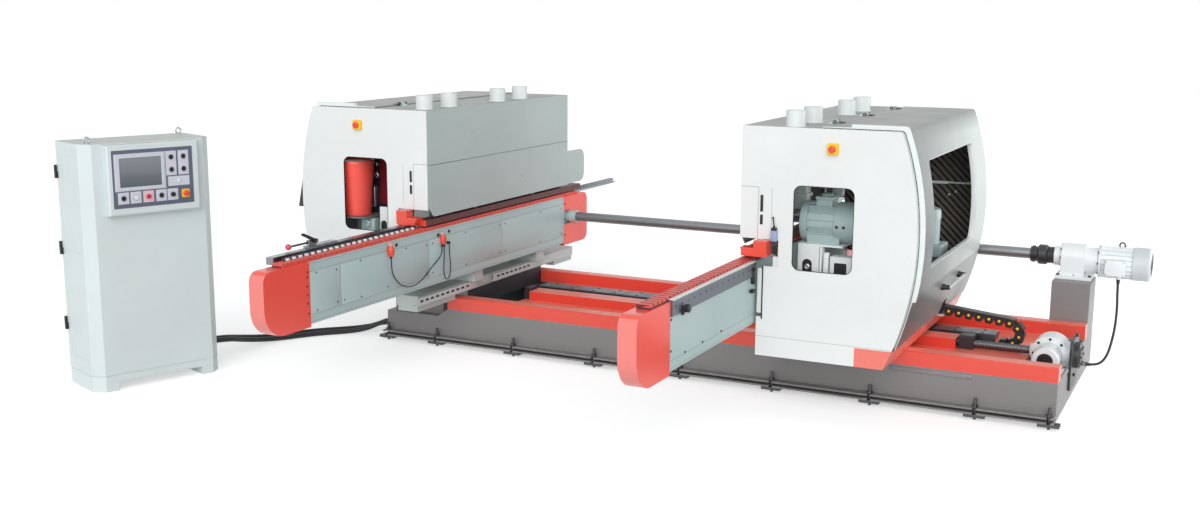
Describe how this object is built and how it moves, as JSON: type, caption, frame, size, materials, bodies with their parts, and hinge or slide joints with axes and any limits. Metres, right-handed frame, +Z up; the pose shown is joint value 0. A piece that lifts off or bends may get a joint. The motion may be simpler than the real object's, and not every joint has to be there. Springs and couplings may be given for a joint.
{
  "type": "double-end profiler",
  "caption": "Woodworking double-end profiler: chain conveyors feed boards between a fixed and a sliding hooded saw head on a long base, with a free-standing control cabinet.",
  "frame": {"origin": "on the floor, below the middle of the machine with its cabinet, its loose cables left out", "axes": "+X across the machine towards the sliding head and the drive motor, +Y along the feed, away from the operator, +Z up"},
  "size_m": [5.9752, 4.538, 1.758],
  "materials": {
    "dark_grey_paint": "satin",
    "coral_red_paint": "semi-gloss",
    "white_paint": "semi-gloss",
    "grey_green_paint": "satin",
    "warm_grey_paint": "satin",
    "pale_gear_paint": "semi-gloss",
    "blue_grey_paint": "satin",
    "ground_steel": "ground",
    "zinc_steel": "zinc plated",
    "aluminium_profile": "anodised",
    "black_plastic": "moulded",
    "chain_pad": "moulded",
    "grey_panel": "satin",
    "red_button": "moulded",
    "white_button": "moulded",
    "black_button": "moulded",
    "red_pail": "moulded",
    "cable_jacket": "matt"
  },
  "bodies": {
    "base": {"base_frame": "dark_grey_paint", "levelling_feet": "zinc_steel", "bed_deck": "coral_red_paint", "guideway": "ground_steel", "screw_bearings": "zinc_steel", "screw_motor": "pale_gear_paint", "drive_gearmotor": "pale_gear_paint", "energy_chain": "black_plastic", "left_beam": "grey_green_paint", "left_beam_caps": "coral_red_paint", "left_chain": "chain_pad", "left_front_panel": "white_paint", "left_hood_shell": "grey_green_paint", "left_dust_ports": "dark_grey_paint", "left_motor": "blue_grey_paint", "left_saddle": "dark_grey_paint", "left_fence": "aluminium_profile", "left_canister": "red_pail", "hand_switches": "grey_panel", "cabinet_body": "white_paint", "cabinet_panel": "grey_panel", "cable_a": "cable_jacket", "cable_b": "cable_jacket", "motor_cable": "cable_jacket", "switch_lead_a": "cable_jacket", "switch_lead_b": "cable_jacket"},
    "right_head": {"right_saddle": "dark_grey_paint", "right_beam": "grey_green_paint", "right_beam_caps": "coral_red_paint", "right_chain": "chain_pad", "right_slot_rail": "zinc_steel", "right_front_panel": "white_paint", "right_hood_shell": "grey_green_paint", "right_dust_ports": "dark_grey_paint", "right_motor": "blue_grey_paint", "right_skirt": "coral_red_paint"},
    "left_cover": {"left_cover": "warm_grey_paint"},
    "right_cover": {"right_cover": "warm_grey_paint"},
    "left_pressure": {"left_pressure": "coral_red_paint"},
    "right_pressure": {"right_pressure": "coral_red_paint"},
    "left_cutter": {"left_cutter": "ground_steel"},
    "right_cutter": {"right_cutter": "ground_steel"},
    "left_estop": {"left_estop": "red_button"},
    "right_estop": {"right_estop": "red_button"},
    "drive_shaft": {"drive_shaft": "ground_steel"},
    "right_sprocket": {"right_sprocket": "zinc_steel"},
    "lead_screw": {"lead_screw": "ground_steel"},
    "ball_clamp_lever": {"ball_clamp_lever": "black_plastic"},
    "black_clamp_lever": {"black_clamp_lever": "black_plastic"},
    "cabinet_door": {"cabinet_door": "white_paint"},
    "cabinet_estop": {"cabinet_estop": "red_button"},
    "push_white": {"push_white": "white_button"},
    "push_red": {"push_red": "red_button"},
    "push_black": {"push_black": "black_button"},
    "selector_top_left": {"selector_top_left": "black_button"},
    "selector_top_right": {"selector_top_right": "black_button"},
    "selector_mid_left": {"selector_mid_left": "black_button"},
    "selector_mid_right": {"selector_mid_right": "black_button"},
    "selector_row_left": {"selector_row_left": "black_button"},
    "selector_row_right": {"selector_row_right": "black_button"}
  },
  "joints": [
    {"name": "right_head_slide", "type": "slide", "parent": "base", "child": "right_head", "axis": [1, 0, 0], "range_m": [-1.5, 0.15], "deforming": ["energy_chain"]},
    {"name": "lead_screw_turn", "type": "hinge", "parent": "base", "child": "lead_screw", "pos_m": [0.37765, 0.409, 0.296], "axis": [1, 0, 0], "range_deg": [-27090, 2790]},
    {"name": "drive_shaft_turn", "type": "hinge", "parent": "base", "child": "drive_shaft", "pos_m": [0.37765, 1.291, 0.733], "axis": [1, 0, 0], "continuous": true},
    {"name": "right_sprocket_turn", "type": "hinge", "parent": "right_head", "child": "right_sprocket", "pos_m": [1.01365, 1.291, 0.733], "axis": [1, 0, 0], "continuous": true},
    {"name": "left_cover_hinge", "type": "hinge", "parent": "base", "child": "left_cover", "pos_m": [-1.62935, 0.469, 1.682], "axis": [0, 1, 0], "range_deg": [0, 75]},
    {"name": "left_pressure_lift", "type": "slide", "parent": "base", "child": "left_pressure", "axis": [0, 0, 1], "range_m": [0, 0.04]},
    {"name": "left_cutter_turn", "type": "hinge", "parent": "base", "child": "left_cutter", "pos_m": [-1.30735, -0.091, 1.116], "axis": [1, 0, 0], "continuous": true},
    {"name": "left_estop_press", "type": "slide", "parent": "base", "child": "left_estop", "axis": [0, 1, 0], "range_m": [0, 0.006], "stiffness_N_per_m": 400},
    {"name": "right_cover_hinge", "type": "hinge", "parent": "right_head", "child": "right_cover", "pos_m": [1.37165, 0.469, 1.682], "axis": [0, -1, 0], "range_deg": [0, 75]},
    {"name": "right_pressure_lift", "type": "slide", "parent": "right_head", "child": "right_pressure", "axis": [0, 0, 1], "range_m": [0, 0.04]},
    {"name": "right_cutter_turn", "type": "hinge", "parent": "right_head", "child": "right_cutter", "pos_m": [1.04965, -0.411, 1.116], "axis": [1, 0, 0], "continuous": true},
    {"name": "right_estop_press", "type": "slide", "parent": "right_head", "child": "right_estop", "axis": [0, 1, 0], "range_m": [0, 0.006], "stiffness_N_per_m": 400},
    {"name": "ball_clamp_turn", "type": "hinge", "parent": "base", "child": "ball_clamp_lever", "pos_m": [-1.33435, -1.689, 0.966], "axis": [-1, 0, 0], "range_deg": [0, 120]},
    {"name": "black_clamp_turn", "type": "hinge", "parent": "base", "child": "black_clamp_lever", "pos_m": [-1.33435, -1.649, 0.974], "axis": [-1, 0, 0], "range_deg": [0, 100]},
    {"name": "cabinet_door_hinge", "type": "hinge", "parent": "base", "child": "cabinet_door", "pos_m": [-2.97865, -2.03856, 0.756], "axis": [0, 0, 1], "range_deg": [0, 110]},
    {"name": "cabinet_estop_press", "type": "slide", "parent": "base", "child": "cabinet_estop", "axis": [-0.9361, 0.3518, 0], "range_m": [0, 0.006], "stiffness_N_per_m": 400},
    {"name": "push_white_press", "type": "slide", "parent": "base", "child": "push_white", "axis": [-0.9361, 0.3518, 0], "range_m": [0, 0.004], "stiffness_N_per_m": 300},
    {"name": "push_red_press", "type": "slide", "parent": "base", "child": "push_red", "axis": [-0.9361, 0.3518, 0], "range_m": [0, 0.004], "stiffness_N_per_m": 300},
    {"name": "push_black_press", "type": "slide", "parent": "base", "child": "push_black", "axis": [-0.9361, 0.3518, 0], "range_m": [0, 0.004], "stiffness_N_per_m": 300},
    {"name": "selector_top_left_turn", "type": "hinge", "parent": "base", "child": "selector_top_left", "pos_m": [-2.37153, -1.69949, 1.414], "axis": [-0.9361, 0.3518, 0], "range_deg": [-45, 45]},
    {"name": "selector_top_right_turn", "type": "hinge", "parent": "base", "child": "selector_top_right", "pos_m": [-2.34373, -1.62554, 1.414], "axis": [-0.9361, 0.3518, 0], "range_deg": [-45, 45]},
    {"name": "selector_mid_left_turn", "type": "hinge", "parent": "base", "child": "selector_mid_left", "pos_m": [-2.37153, -1.69949, 1.337], "axis": [-0.9361, 0.3518, 0], "range_deg": [-45, 45]},
    {"name": "selector_mid_right_turn", "type": "hinge", "parent": "base", "child": "selector_mid_right", "pos_m": [-2.34373, -1.62554, 1.337], "axis": [-0.9361, 0.3518, 0], "range_deg": [-45, 45]},
    {"name": "selector_row_left_turn", "type": "hinge", "parent": "base", "child": "selector_row_left", "pos_m": [-2.48025, -1.98873, 1.185], "axis": [-0.9361, 0.3518, 0], "range_deg": [-45, 45]},
    {"name": "selector_row_right_turn", "type": "hinge", "parent": "base", "child": "selector_row_right", "pos_m": [-2.39686, -1.76688, 1.185], "axis": [-0.9361, 0.3518, 0], "range_deg": [-45, 45]}
  ],
  "couplings": [
    {"joint": "lead_screw_turn", "follows": "right_head_slide", "rad_per_m": 314.16},
    {"joint": "right_sprocket_turn", "follows": "drive_shaft_turn", "ratio": 1}
  ]
}
